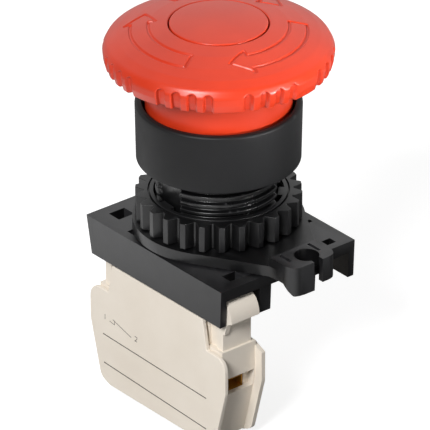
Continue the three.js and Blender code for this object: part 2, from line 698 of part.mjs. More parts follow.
function contactBridge() {
  const half = TIP_OFFSET + 1.8;
  return box(BLOCK_X - half, BLOCK_X + half, CONTACT_Y - HALF_STRIP, CONTACT_Y + HALF_STRIP,
    BRIDGE_TOP_Z - BRIDGE_T, BRIDGE_TOP_Z);
}

function contactSpring() {
  const turns = 5;
  const z0 = CHAMBER_BOTTOM_Z + GAP;
  return coil(1.9, 0.3, z0, BRIDGE_TOP_Z - BRIDGE_T - GAP, turns, 10, BLOCK_X, CONTACT_Y);
}

function contactTip(side, z0) {
  return disc(1.2, z0, z0 + 0.4, 12).translate([BLOCK_X + side * TIP_OFFSET, CONTACT_Y, 0]);
}

function fixedContact(side) {
  const inner = 3.1;
  const outer = 15.6;
  const x0 = BLOCK_X + (side > 0 ? inner : -outer);
  const x1 = BLOCK_X + (side > 0 ? outer : -inner);
  const z0 = STRIP_TOP_Z - STRIP_T;
  const strip = box(x0, x1, CONTACT_Y - HALF_STRIP, CONTACT_Y + HALF_STRIP, z0, STRIP_TOP_Z);
  const screwHole = disc(1.9, z0 - 1, STRIP_TOP_Z + 1, SMALL_ROUND);
  const x = BLOCK_X + side * TERMINAL_OFFSET;
  const pad = box(x - CLAMP_HALF, x + CLAMP_HALF, CONTACT_Y - CLAMP_HALF, CONTACT_Y + CLAMP_HALF,
    z0, STRIP_TOP_Z);
  return strip.add(pad).subtract(screwHole.translate([x, CONTACT_Y, 0]));
}

function terminalClamp(side) {
  const x = BLOCK_X + side * TERMINAL_OFFSET;
  const z0 = CLAMP_TOP_Z - CLAMP_T;
  const inner = x - side * CLAMP_HALF;
  const outer = x + side * (CLAMP_HALF + 1);
  const plate = box(Math.min(inner, outer), Math.max(inner, outer), CONTACT_Y - CLAMP_HALF,
    CONTACT_Y + CLAMP_HALF, z0, CLAMP_TOP_Z);
  return plate.subtract(disc(1.9, z0 - 1, CLAMP_TOP_Z + 1, SMALL_ROUND).translate([x, CONTACT_Y, 0]));
}

function terminalScrew(side) {
  const headTopZ = CLAMP_TOP_Z - CLAMP_T - GAP;
  const headBottomZ = headTopZ - 2;
  const shankR = 1.6;
  const headR = 2.5;
  const shankTopZ = STRIP_TOP_Z + 1.4;
  let screw = disc(headR, headBottomZ, headTopZ, SMALL_ROUND);
  screw = screw.add(disc(shankR, headTopZ - 0.2, shankTopZ, SMALL_ROUND));
  screw = screw.subtract(box(-headR, headR, -0.35, 0.35, headBottomZ - 1, headBottomZ + 0.8));
  return screw.translate([BLOCK_X + side * TERMINAL_OFFSET, CONTACT_Y, 0]);
}

// ---------- build ----------
addPiece("mushroom_head", mushroomHead(), redPlastic);
addPiece("centre_plug", centrePlug(), redPlastic);
addPiece("head_screw", headScrew(), steel);
addPiece("spindle", spindle(), blackPlastic);
addPiece("guide_sleeve", guideSleeve(), blackPlastic);
addPiece("return_spring", returnSpring(), steel);
addPiece("reset_spring", resetSpring(), steel);
addPiece("bezel", bezel(), blackPlastic);
addPiece("skirt_seal", skirtSeal(), rubber);
addPiece("panel_gasket", panelGasket(), rubber);
addPiece("threaded_barrel", threadedBarrel(), blackPlastic);
addPiece("thrust_washer", thrustWasher(), blackPlastic);
addPiece("ring_nut", ringNut(), blackPlastic);
addPiece("locking_lever", lockingLever(), blackPlastic);
addPiece("mounting_base", mountingBase(), blackPlastic);
addPiece("pusher_bar", pusherBar(), blackPlastic);
addPiece("pusher_clip", pusherClip(), steel);
addPiece("block_housing", blockHousing(), creamPlastic);
addPiece("block_cover", blockCover(), creamPlastic);
addPiece("plunger", plunger(), redPlastic);
addPiece("contact_bridge", contactBridge(), brass);
addPiece("contact_spring", contactSpring(), steel);
for (const [number, side] of [[1, -1], [2, 1]]) {
  addPiece("lock_pawl_" + number, lockPawl(side > 0 ? 0 : 180), steel);
  addPiece("pawl_spring_" + number, pawlSpring(side > 0 ? 0 : 180), steel);
  addPiece("fixed_contact_" + number, fixedContact(side), brass);
  addPiece("fixed_tip_" + number, contactTip(side, STRIP_TOP_Z - STRIP_T - GAP - 0.4), silver);
  addPiece("moving_tip_" + number, contactTip(side, BRIDGE_TOP_Z + GAP), silver);
  addPiece("terminal_clamp_" + number, terminalClamp(side), brass);
  addPiece("terminal_screw_" + number, terminalScrew(side), steel);
}

export default button;
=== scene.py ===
"""Looks of a panel-mount emergency stop button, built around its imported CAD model.

Lengths in this script are millimetres: +Z out of the panel towards the mushroom head, +X along the
mounting base towards the lever's handle, the contact block on the -Y side. Heights are from the front of
the panel, where the bezel rests. They become metres in the CAD model's frame where a mesh is made."""
import json
import math

import bmesh
import bpy
import numpy as np
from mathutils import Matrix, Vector


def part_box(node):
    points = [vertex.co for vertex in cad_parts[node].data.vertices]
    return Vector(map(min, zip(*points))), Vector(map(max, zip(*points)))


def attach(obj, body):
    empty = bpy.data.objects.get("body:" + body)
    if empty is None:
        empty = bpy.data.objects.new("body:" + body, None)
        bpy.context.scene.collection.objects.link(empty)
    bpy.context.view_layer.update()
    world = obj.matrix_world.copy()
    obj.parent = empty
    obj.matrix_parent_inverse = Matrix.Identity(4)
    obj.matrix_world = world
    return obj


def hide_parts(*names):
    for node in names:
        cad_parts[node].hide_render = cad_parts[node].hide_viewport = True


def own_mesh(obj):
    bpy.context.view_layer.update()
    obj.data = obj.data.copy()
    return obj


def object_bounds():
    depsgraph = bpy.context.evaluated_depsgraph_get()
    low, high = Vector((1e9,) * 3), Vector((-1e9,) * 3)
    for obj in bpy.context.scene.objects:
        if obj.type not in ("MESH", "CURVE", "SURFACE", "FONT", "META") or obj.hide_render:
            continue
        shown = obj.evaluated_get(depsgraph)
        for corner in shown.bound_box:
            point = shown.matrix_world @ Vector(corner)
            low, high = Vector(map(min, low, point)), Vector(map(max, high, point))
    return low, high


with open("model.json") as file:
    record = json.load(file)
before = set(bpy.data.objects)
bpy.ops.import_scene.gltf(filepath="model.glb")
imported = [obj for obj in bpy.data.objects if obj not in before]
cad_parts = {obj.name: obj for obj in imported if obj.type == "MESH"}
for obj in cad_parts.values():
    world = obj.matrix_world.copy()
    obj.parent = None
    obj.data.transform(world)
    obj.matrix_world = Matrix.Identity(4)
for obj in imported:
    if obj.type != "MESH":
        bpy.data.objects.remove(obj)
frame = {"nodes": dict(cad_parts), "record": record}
cad_low, cad_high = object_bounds()

MM = 0.001
TAU = 2 * math.pi
PANEL = Vector(next(m["pos_m"] for m in frame["record"]["mounts"] if m["name"] == "panel_face"))
PANEL_LIFT = Vector((0, 0, PANEL.z / MM))  # from heights in this script to the CAD model's frame


# ---------------------------------------------------------------- places read from the frame
def low(node):
    """The lowest corner of a CAD node, in millimetres from the panel."""
    return Vector(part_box(node)[0]) / MM - PANEL_LIFT


def high(node):
    """The highest corner of a CAD node, in millimetres from the panel."""
    return Vector(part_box(node)[1]) / MM - PANEL_LIFT


# ---------------------------------------------------------------- meshes
def mesh_piece(name, points, faces, smooth=True):
    """A mesh object from points in millimetres."""
    data = bpy.data.meshes.new(name)
    data.from_pydata(((np.asarray(points, float) + PANEL_LIFT) * MM).tolist(), [], faces)
    data.update()
    piece = bpy.data.objects.new(name, data)
    bpy.context.scene.collection.objects.link(piece)
    if smooth:
        data.polygons.foreach_set("use_smooth", [True] * len(data.polygons))
    return piece


def facing_out(piece):
    """Turns the faces of a closed mesh outwards."""
    work = bmesh.new()
    work.from_mesh(piece.data)
    bmesh.ops.recalc_face_normals(work, faces=work.faces)
    work.to_mesh(piece.data)
    work.free()
    return piece


def rounded(corners, arc_steps=5):
    """A closed outline whose corners [a, b, radius] are rounded by arcs."""
    points = []
    count = len(corners)
    for i, (a, b, *extra) in enumerate(corners):
        corner = np.array([a, b], float)
        radius = extra[0] if extra else 0
        before = np.array(corners[i - 1][:2], float) - corner
        after = np.array(corners[(i + 1) % count][:2], float) - corner
        len_before, len_after = np.linalg.norm(before), np.linalg.norm(after)
        before, after = before / len_before, after / len_after
        angle = math.acos(np.clip(before @ after, -1, 1))
        if radius <= 0 or angle > math.pi - 1e-3:
            points.append(corner)
            continue
        reach = min(radius / math.tan(angle / 2), 0.49 * len_before, 0.49 * len_after)
        radius = reach * math.tan(angle / 2)
        bisector = (before + after) / np.linalg.norm(before + after)
        centre = corner + bisector * radius / math.sin(angle / 2)
        start, end = corner + before * reach - centre, corner + after * reach - centre
        first = math.atan2(start[1], start[0])
        sweep = (math.atan2(end[1], end[0]) - first + math.pi) % TAU - math.pi
        for step in range(arc_steps + 1):
            a_now = first + sweep * step / arc_steps
            points.append(centre + radius * np.array([math.cos(a_now), math.sin(a_now)]))
    return np.array(points)


def divided(outline, longest):
    """A closed outline whose edges are split so that none is longer than longest(middle of the edge)."""
    points = []
    for i, start in enumerate(outline):
        end = outline[(i + 1) % len(outline)]
        limit = longest((start + end) / 2) if callable(longest) else longest
        pieces = max(1, math.ceil(np.linalg.norm(end - start) / limit))
        points += [start + (end - start) * k / pieces for k in range(pieces)]
    return np.array(points)


def revolved(name, profile, segments, shape=None):
    """A ring of revolution about Z from a closed (r, z) profile. shape(angle, r, z) may return a new (r, z)."""
    angles = np.arange(segments) * TAU / segments
    r, z = np.meshgrid(profile[:, 0], angles)[0], np.meshgrid(profile[:, 1], angles)[0]
    angle = np.repeat(angles[:, None], len(profile), 1)
    if shape:
        r, z = shape(angle, r, z)
    points = np.stack([r * np.cos(angle), r * np.sin(angle), z], -1).reshape(-1, 3)
    count = len(profile)
    faces = []
    for i in range(segments):
        row, following = i * count, ((i + 1) % segments) * count
        for j in range(count):
            k = (j + 1) % count
            faces.append((row + j, following + j, following + k, row + k))
    return facing_out(mesh_piece(name, points, faces))


def turned_solid(name, profile, segments):
    """A solid of revolution whose open (r, z) profile starts and ends on the axis."""
    inner = profile[1:-1]
    angles = np.arange(segments) * TAU / segments
    points = [(0, 0, profile[0][1]), (0, 0, profile[-1][1])]
    for a in angles:
        points += [(r * math.cos(a), r * math.sin(a), z) for r, z in inner]
    count = len(inner)
    faces = []
    for i in range(segments):
        row, following = 2 + i * count, 2 + ((i + 1) % segments) * count
        faces.append((0, following, row))
        faces.append((1, row + count - 1, following + count - 1))
        for j in range(count - 1):
            faces.append((row + j, following + j, following + j + 1, row + j + 1))
    return facing_out(mesh_piece(name, points, faces))


def raised(name, outline, start, end, axis="z", holes=()):
    """A flat outline raised along an axis: (x, y) along Z, or (x, z) along Y."""
    work = bmesh.new()
    loops = [outline, *holes]
    edges = []
    for loop in loops:
        corners = []
        for a, b in loop:
            place = (a, b, start) if axis == "z" else (a, start, b)
            corners.append(work.verts.new((Vector(place) + PANEL_LIFT) * MM))
        edges += [work.edges.new((corners[i - 1], corners[i])) for i in range(len(corners))]
    if holes:
        made = bmesh.ops.triangle_fill(work, use_beauty=True, use_dissolve=True, edges=edges)
        flat = [g for g in made["geom"] if isinstance(g, bmesh.types.BMFace)]
    else:
        flat = [work.faces.new(list(work.verts))]
    lift = Vector((0, 0, end - start) if axis == "z" else (0, end - start, 0)) * MM
    grown = bmesh.ops.extrude_face_region(work, geom=flat)
    moved = [g for g in grown["geom"] if isinstance(g, bmesh.types.BMVert)]
    bmesh.ops.translate(work, verts=moved, vec=lift)
    bmesh.ops.recalc_face_normals(work, faces=work.faces)
    data = bpy.data.meshes.new(name)
    work.to_mesh(data)
    work.free()
    piece = bpy.data.objects.new(name, data)
    bpy.context.scene.collection.objects.link(piece)
    return piece


def block(name, x0, x1, y0, y1, z0, z1):
    return raised(name, [(x0, y0), (x1, y0), (x1, y1), (x0, y1)], z0, z1)


def circle(x, y, radius, segments):
    """A closed round outline in (x, y)."""
    angles = np.arange(segments) * TAU / segments
    return np.stack([x + radius * np.cos(angles), y + radius * np.sin(angles)], -1)


def disc(name, x, y, radius, z0, z1, segments=64):
    return raised(name, circle(x, y, radius, segments), z0, z1)


def combine(piece, tool, operation="DIFFERENCE"):
    """Cuts tool from piece, or joins it, for good, and removes the tool."""
    bpy.context.view_layer.update()
    modifier = piece.modifiers.new("combine", "BOOLEAN")
    modifier.operation = operation
    modifier.solver = "EXACT"
    modifier.object = tool
    bpy.context.view_layer.update()
    evaluated = piece.evaluated_get(bpy.context.evaluated_depsgraph_get())
    result = bpy.data.meshes.new_from_object(evaluated)
    old = piece.data
    piece.modifiers.remove(modifier)
    piece.data = result
    bpy.data.meshes.remove(old)
    bpy.data.objects.remove(tool)
    return piece


def cut(piece, *tools):
    for tool in tools:
        combine(piece, tool)
    return piece


def join(piece, *tools):
    for tool in tools:
        combine(piece, tool, "UNION")
    return piece


def soft_edges(piece, width, segments=3, angle=32):
    """Rounds the sharp edges and keeps flat faces flat."""
    work = bmesh.new()
    work.from_mesh(piece.data)
    bmesh.ops.remove_doubles(work, verts=work.verts, dist=0.004 * MM)
    bmesh.ops.dissolve_limit(work, angle_limit=math.radians(0.5), verts=work.verts, edges=work.edges)
    work.to_mesh(piece.data)
    work.free()
    bevel = piece.modifiers.new("bevel", "BEVEL")
    bevel.width = width * MM
    bevel.segments = segments
    bevel.limit_method = "ANGLE"
    bevel.angle_limit = math.radians(angle)
    bevel.use_clamp_overlap = True
    bevel.harden_normals = False
    piece.data.polygons.foreach_set("use_smooth", [True] * len(piece.data.polygons))
    weighted = piece.modifiers.new("weighted normals", "WEIGHTED_NORMAL")
    weighted.keep_sharp = True
    weighted.weight = 80
    return piece


def finished(piece, body, node, material):
    """Puts a new piece on its body, in place of its CAD node."""
    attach(piece, body)
    if node:
        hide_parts(node)
    piece.data.materials.clear()
    piece.data.materials.append(material)
    return piece


# ---------------------------------------------------------------- materials
def linear(r, g, b):
    """A colour given as 8-bit sRGB numbers, as linear light."""
    def one(v):
        v /= 255
        return v / 12.92 if v <= 0.04045 else ((v + 0.055) / 1.055) ** 2.4
    return (one(r), one(g), one(b), 1)


def moulded(name, colour, darker, roughness, grain_mm, bump, roughness_spread=0.12, edge=None, metallic=0.0,
            specular=0.5):
    """A moulded or plated surface: slow colour drift, patchy gloss, fine grain and paler worn edges."""
    material = bpy.data.materials.new(name)
    material.use_nodes = True
    tree = material.node_tree
    nodes, links = tree.nodes, tree.links
    shader = nodes["Principled BSDF"]
    shader.inputs["Metallic"].default_value = metallic
    shader.inputs["Specular IOR Level"].default_value = specular
    place = nodes.new("ShaderNodeTexCoord")

    def noise(size_mm, detail, roughness_share=0.5):
        made = nodes.new("ShaderNodeTexNoise")
        made.inputs["Scale"].default_value = 1 / (size_mm * MM)
        made.inputs["Detail"].default_value = detail
        made.inputs["Roughness"].default_value = roughness_share
        links.new(place.outputs["Object"], made.inputs["Vector"])
        return made

    drift = noise(9, 3)
    tint = nodes.new("ShaderNodeValToRGB")
    tint.color_ramp.elements[0].position = 0.3
    tint.color_ramp.elements[0].color = darker
    tint.color_ramp.elements[1].position = 0.7
    tint.color_ramp.elements[1].color = colour
    links.new(drift.outputs["Fac"], tint.inputs["Fac"])
    surface = tint.outputs["Color"]
    if edge:
        worn = nodes.new("ShaderNodeMix")
        worn.data_type = "RGBA"
        geometry = nodes.new("ShaderNodeNewGeometry")
        sharp = nodes.new("ShaderNodeMapRange")
        sharp.inputs["From Min"].default_value = 0.52
        sharp.inputs["From Max"].default_value = 0.62
        sharp.inputs["To Max"].default_value = 0.55
        links.new(geometry.outputs["Pointiness"], sharp.inputs["Value"])
        links.new(sharp.outputs["Result"], worn.inputs["Factor"])
        links.new(surface, worn.inputs["A"])
        worn.inputs["B"].default_value = edge
        surface = worn.outputs["Result"]
    links.new(surface, shader.inputs["Base Color"])

    patches = noise(2.5, 4, 0.6)
    gloss = nodes.new("ShaderNodeMapRange")
    gloss.inputs["To Min"].default_value = roughness - roughness_spread / 2
    gloss.inputs["To Max"].default_value = roughness + roughness_spread / 2
    links.new(patches.outputs["Fac"], gloss.inputs["Value"])
    links.new(gloss.outputs["Result"], shader.inputs["Roughness"])

    grain = noise(grain_mm, 2)
    relief = nodes.new("ShaderNodeBump")
    relief.inputs["Strength"].default_value = bump
    relief.inputs["Distance"].default_value = grain_mm * MM
    links.new(grain.outputs["Fac"], relief.inputs["Height"])
    links.new(relief.outputs["Normal"], shader.inputs["Normal"])
    return material


RED = moulded("red moulding", linear(207, 56, 25), linear(198, 51, 22), 0.33, 0.22, 0.05, 0.08)
BLACK = moulded("black moulding", linear(14, 14, 15), linear(10, 10, 11), 0.36, 0.16, 0.10, 0.14,
                edge=linear(54, 54, 56))
GLOSS = moulded("glossy black moulding", linear(16, 16, 17), linear(12, 12, 13), 0.28, 0.16, 0.03, 0.06,
                edge=linear(70, 70, 72))
SATIN = moulded("satin black moulding", linear(26, 26, 27), linear(22, 22, 23), 0.5, 0.2, 0.08, 0.1,
                edge=linear(56, 56, 58), specular=0.25)
CREAM = moulded("cream moulding", linear(238, 229, 216), linear(232, 222, 208), 0.5, 0.2, 0.07, 0.1,
                specular=0.3)
RUBBER = moulded("black rubber", linear(20, 20, 21), linear(15, 15, 16), 0.8, 0.1, 0.25)
STEEL = moulded("zinc plated steel", linear(196, 199, 204), linear(176, 180, 186), 0.32, 0.3, 0.08, 0.2,
                metallic=1.0)
BRASS = moulded("brass strip", linear(212, 156, 62), linear(194, 136, 46), 0.36, 0.3, 0.08, 0.2, metallic=0.4)
SILVER = moulded("silver contact", linear(226, 226, 222), linear(205, 205, 203), 0.28, 0.3, 0.05, 0.2,
                 metallic=1.0)
INK = moulded("printed ink", linear(96, 88, 82), linear(84, 77, 71), 0.6, 0.1, 0.05)


# ---------------------------------------------------------------- mushroom head
HEAD_SEGMENTS = 900
PLUG_R = 8.5
NOTCH_GROUPS = 8
NOTCHES_PER_GROUP = 4
NOTCH_PITCH = math.radians(8.3)
NOTCH_FIRST_GROUP = math.radians(-57.2)
NOTCH_WIDTH = 1.75
NOTCH_DEPTH = 0.75
ARROW_START = math.radians(-61.6)
ARROW_BASE = math.radians(75)
ARROW_TIP = math.radians(90)
GROOVE_HALF = 0.2
GROOVE_DEPTH = 0.3


def smooth_step(t):
    t = np.clip(t, 0, 1)
    return t * t * (3 - 2 * t)


def arrow_outlines():
    """Three clockwise arrows round the centre, each a closed outline in (x, y)."""
    arrows = []
    for turn in range(3):
        start = ARROW_START + turn * TAU / 3
        shaft = np.linspace(0, ARROW_BASE, 40)
        polar = [(12.1, a) for a in shaft] + [(10.9, ARROW_BASE), (13.6, ARROW_TIP), (16.3, ARROW_BASE)]
        polar += [(15.2, a) for a in shaft[::-1]]
        arrows.append(np.array([(r * math.cos(start - a), r * math.sin(start - a)) for r, a in polar]))
    return arrows


def distance_to_outline(points, outline):
    """The distance from each (x, y) to a closed outline."""
    nearest = np.full(len(points), 1e9)
    for i, start in enumerate(outline):
        along = outline[(i + 1) % len(outline)] - start
        t = np.clip((points - start) @ along / (along @ along), 0, 1)
        away = points - (start + t[:, None] * along)
        nearest = np.minimum(nearest, np.hypot(away[:, 0], away[:, 1]))
    return nearest


def head_shape(angle, r, z):
    """Engraves the arrows in the dome and scoops the finger notches out of the rim."""
    dome = (r > 9.5) & (r < 18) & (z > 23)
    points = np.stack([r[dome] * np.cos(angle[dome]), r[dome] * np.sin(angle[dome])], -1)
    nearest = np.full(len(points), 1e9)
    for outline in arrow_outlines():
        nearest = np.minimum(nearest, distance_to_outline(points, outline))
    new_z = z.copy()
    new_z[dome] -= GROOVE_DEPTH * smooth_step((GROOVE_HALF + 0.12 - nearest) / 0.2)

    depth = np.zeros_like(r)
    top_z = 20.9
    for group in range(NOTCH_GROUPS):
        for i in range(NOTCHES_PER_GROUP):
            centre = NOTCH_FIRST_GROUP + group * TAU / NOTCH_GROUPS + (i - 1.5) * NOTCH_PITCH
            across = ((angle - centre + math.pi) % TAU - math.pi) * 20
            above = np.maximum(z - top_z, 0)
            reach = np.hypot(across, above * 1.25)
            depth = np.maximum(depth, smooth_step((NOTCH_WIDTH / 2 - reach) / 0.3))
    on_rim = np.clip((r - 18.5) / 0.7, 0, 1) * (z < 23.3)
    return r - NOTCH_DEPTH * depth * on_rim, new_z


def mushroom_head():
    top = high("mushroom_head")
    bottom = low("mushroom_head")
    seat_z = 22.6
    profile = rounded([
        (1.8, 13.8),
        (6, 13.8, 0.3),
        (6, 20.2, 0.8),
        (11.7, 19.6, 0.8),
        (11.7, bottom.z, 0.2),
        (12.7, bottom.z, 0.25),
        (12.7, 19.7, 0.8),
        (17.8, 19.3, 0.8),
        (18.3, 18.1, 0.25),
        (19.45, 18.1, 0.35),
        (19.85, 19.6, 1.5),
        (19.98, 21.05, 1.2),
        (19.3, 22.35, 1.6),
        (17.5, 23.35, 3),
        (15, 24.25, 4),
        (12, 25.05, 4),
        (PLUG_R + 0.22, 25.62, 0.25),
        (PLUG_R + 0.22, seat_z),
        (1.8, seat_z),
    ], 6)

    def longest(point):
        r, z = point
        if z > 23 and 9.5 < r < 18:
            return 0.1
        if r > 18 and z > 18:
            return 0.16
        return 1.2

    head = revolved("mushroom_head_moulding", divided(profile, longest), HEAD_SEGMENTS, head_shape)
    return finished(head, "head", "mushroom_head", RED)


def centre_plug():
    seat_z = low("centre_plug").z
    top_z = high("centre_plug").z
    profile = [(0, seat_z + 1.9), (3.2, seat_z + 1.9), (3.2, seat_z)]
    outer = rounded([(3.2, seat_z), (PLUG_R, seat_z, 0.1), (PLUG_R, 25.68, 0.22), (3.2, 26.2)], 5)
    profile += [tuple(p) for p in outer[1:-1]]
    for r in np.linspace(8, 0, 14):
        profile.append((r, top_z - 0.58 * (r / 8.2) ** 2))
    plug = turned_solid("centre_plug_disc", profile, 256)
    return finished(plug, "head", "centre_plug", RED)


mushroom_head()
centre_plug()


# ---------------------------------------------------------------- bezel and seals
def bezel():
    profile = rounded([
        (13.2, 0, 0.05),
        (14.3, 0, 0.25),
        (14.5, 10.9, 0.55),
        (13.3, 10.9, 0.2),
        (13.3, 9.6),
        (13.8, 9.6),
        (13.8, 8.2),
        (13.3, 8.2),
        (13.3, 2.2, 0.3),
        (11.2, 2.2, 0.1),
        (11.2, 1),
        (13.2, 1),
    ], 6)
    ring = revolved("bezel_ring", divided(profile, 1.2), 256)
    return finished(ring, "operator", "bezel", SATIN)


def skirt_seal():
    z0, z1 = low("skirt_seal").z, high("skirt_seal").z
    profile = rounded([(13, z0, 0.25), (13.7, z0, 0.2), (13.7, z1, 0.2), (13, z1, 0.25)], 5)
    ring = revolved("skirt_seal_ring", profile, 192)
    return finished(ring, "operator", "skirt_seal", RUBBER)


def panel_gasket():
    z0, z1 = low("panel_gasket").z, high("panel_gasket").z
    profile = rounded([(11.35, z0, 0.3), (13.1, z0, 0.3), (13.1, z1, 0.2), (11.35, z1, 0.2)], 5)
    ring = revolved("panel_gasket_ring", profile, 192)
    return finished(ring, "operator", "panel_gasket", RUBBER)


bezel()
skirt_seal()
panel_gasket()


# ---------------------------------------------------------------- threaded barrel
THREAD_R = 11.0
THREAD_PITCH = 1.5
THREAD_DEPTH = 0.78
CREST_Z_IN_FRONT = -2.76
FRONT_ANGLE = math.radians(-39.6)
KEYWAYS = [math.radians(-95), math.radians(45)]
KEYWAY_FLOOR = 9.9
KEYWAY_HALF = 3.5


def barrel_shape(angle, r, z):
    """Cuts the helical thread and the two keyways in the outside of the barrel."""
    outside = (r > 10.9) & (z < 2.2)
    turn = (angle - FRONT_ANGLE) / TAU
    phase = (z - CREST_Z_IN_FRONT) / THREAD_PITCH - turn
    off_crest = np.abs(phase - np.round(phase)) * THREAD_PITCH
    into = smooth_step((off_crest - 0.2) / 0.33)
    run_out = smooth_step((-1.7 - z) / 0.3)
    threaded = THREAD_R - THREAD_DEPTH * np.maximum(into, 1 - run_out)
    for centre in KEYWAYS:
        off = (angle - centre + math.pi) % TAU - math.pi
        sideways = THREAD_R * np.sin(np.clip(off, -1.5, 1.5))
        floor = KEYWAY_FLOOR / np.maximum(np.cos(off), 0.3)
        inside = smooth_step((KEYWAY_HALF - np.abs(sideways)) / 0.25) * smooth_step((-0.9 - z) / 0.2)
        inside = inside * (np.abs(off) < 1)
        threaded = threaded + (np.minimum(floor, threaded) - threaded) * inside
    return np.where(outside, threaded, r), z


def threaded_barrel():
    bottom = low("threaded_barrel").z
    top = high("threaded_barrel").z
    bore = 9.4
    profile = rounded([
        (bore, bottom, 0.2),
        (THREAD_R, bottom, 0.3),
        (THREAD_R, 2.3),
        (12.9, 2.3, 0.1),
        (12.9, top, 0.3),
        (bore, top, 0.3),
    ], 4)

    def longest(point):
        return 0.07 if point[0] > 10.9 and point[1] < 2.2 else 1.5

    barrel = revolved("threaded_barrel_tube", divided(profile, longest), 480, barrel_shape)
    return finished(barrel, "operator", "threaded_barrel", GLOSS)


def barrel_web():
    """The inner web of the barrel, with its pockets for the two lock pawls."""
    web = revolved("barrel_web", np.array([(5.4, -10.5), (9.35, -10.5), (9.35, -4), (5.4, -4)]), 96)
    for side in (-1, 1):
        x0, x1 = sorted((side * 4.5, side * 9.2))
        cut(web, block("tool", x0, x1, -1.8, 1.8, -9.1, -6.3))
    soft_edges(web, 0.12, 2)
    return finished(web, "operator", None, BLACK)


threaded_barrel()
barrel_web()


# ---------------------------------------------------------------- ring nut and washer
NUT_TEETH = 26
NUT_PHASE = math.radians(4.3)
NUT_R = 14.5
NUT_ROOT_R = 12.95
NUT_BORE_R = 11.25
TOOTH_HALF_FACE = 0.5
TOOTH_HALF_FOOT = 1.4
RECESS_R = 12.3
RECESS_DEPTH = 0.6
WASHER_R = 12
WASHER_BORE_R = 11.3
TONGUE_HALF = 1.5
TONGUE_TIP_R = 10.3


def ring_nut():
    """A ring with leaning teeth and a recess in its top for the washer."""
    z0, z1 = low("ring_nut").z, high("ring_nut").z
    corners = []
    for i in range(NUT_TEETH):
        centre = NUT_PHASE + i * TAU / NUT_TEETH
        for r, offset, radius in [(NUT_ROOT_R, -TOOTH_HALF_FOOT, 0.1), (NUT_R, -TOOTH_HALF_FACE, 0.14),
                                  (NUT_R, TOOTH_HALF_FACE, 0.14), (NUT_ROOT_R, TOOTH_HALF_FOOT, 0.1)]:
            a = centre + offset / r
            corners.append((r * math.cos(a), r * math.sin(a), radius))
    nut = raised("ring_nut_body", rounded(corners, 3), z0, z1, holes=[circle(0, 0, NUT_BORE_R, 144)])
    cut(nut, disc("recess", 0, 0, RECESS_R, z1 - RECESS_DEPTH, z1 + 1, 144))
    soft_edges(nut, 0.12, 3, 40)
    return finished(nut, "nut", "ring_nut", BLACK)


def thrust_washer():
    z0, z1 = low("thrust_washer").z, high("thrust_washer").z
    outer, bore = circle(0, 0, WASHER_R, 160), circle(0, 0, WASHER_BORE_R, 160)
    washer = raised("thrust_washer_ring", outer, z0, z1, holes=[bore])
    for centre in KEYWAYS:
        along = np.array([math.cos(centre), math.sin(centre)])
        across = np.array([-along[1], along[0]])
        root_r = WASHER_BORE_R + 0.3
        tongue = [along * TONGUE_TIP_R - across * TONGUE_HALF, along * root_r - across * TONGUE_HALF,
                  along * root_r + across * TONGUE_HALF, along * TONGUE_TIP_R + across * TONGUE_HALF]
        join(washer, raised("tongue", tongue, z0, z1))
    soft_edges(washer, 0.06, 2, 40)
    return finished(washer, "washer", "thrust_washer", BLACK)


ring_nut()
thrust_washer()


# ---------------------------------------------------------------- locking lever
HANDLE_ROOT_HALF = 5.3
HANDLE_WAIST_HALF = 5.05
LEVER_R = 15
LEVER_BORE_R = 11.3
LEVER_TANGENT = math.radians(54)  # where the ring runs off into the handle
LEVER_TOP_Z = -11.6
LEVER_BOTTOM_Z = -13.6
CLIP_HOLE_X = 23.1
CLIP_HOLE_Y = 0.4
CLIP_HOLE_R = 2.2


def handle_outline(end_x):
    """One side swells from the root, draws in to a waist and rounds into the end."""
    side = [(19.8, HANDLE_ROOT_HALF), (20.5, 5.16), (21.5, 5.08), (22.6, HANDLE_WAIST_HALF), (23.7, 5.09),
            (24.5, 4.95), (25.2, 4.6), (25.65, 4.15), (25.9, 3.5), (end_x, 2.8)]
    return [(x, -y) for x, y in side] + [(x, y) for x, y in side[::-1]]


def locking_lever():
    handle_top, handle_bottom = high("locking_lever").z, low("locking_lever").z
    end_x = high("locking_lever").x
    arc = np.linspace(LEVER_TANGENT, TAU - LEVER_TANGENT, 120)
    plate = [(LEVER_R * math.cos(a), LEVER_R * math.sin(a)) for a in arc]
    plate += [(19.9, -HANDLE_ROOT_HALF), (23.2, -4.9), (23.2, 4.9), (19.9, HANDLE_ROOT_HALF)]
    bore = circle(0, 0, LEVER_BORE_R, 128)
    lever = raised("locking_lever_plate", plate, LEVER_BOTTOM_Z, LEVER_TOP_Z, holes=[bore])
    grip = raised("grip", handle_outline(end_x), handle_bottom, handle_top)
    under = raised("under", [(18, LEVER_BOTTOM_Z), (23.4, LEVER_BOTTOM_Z), (end_x - 0.6, handle_bottom),
                             (end_x - 0.6, handle_bottom - 1), (18, handle_bottom - 1)], -8, 8, "y")
    cut(grip, under, block("short side", 18, end_x + 1, 0, 8, handle_bottom - 1, handle_bottom + 1))
    join(lever, grip)
    cut(lever, disc("hole", CLIP_HOLE_X, CLIP_HOLE_Y, CLIP_HOLE_R, handle_bottom - 1, handle_top + 1, 48),
        block("slit", CLIP_HOLE_X, end_x + 1, -0.3, 1.6, handle_bottom - 1, handle_top + 1))
    join(lever, block("web", 20.9, 24.6, -1.4, 2.6, LEVER_BOTTOM_Z, LEVER_BOTTOM_Z + 0.7))
    for y in (-3.2, 3.2):
        cut(lever, block("slot", 20.2, 23.2, y - 0.3, y + 0.3, LEVER_TOP_Z, handle_top + 1))
    soft_edges(lever, 0.18, 3, 34)
    return finished(lever, "lever", "locking_lever", BLACK)


locking_lever()


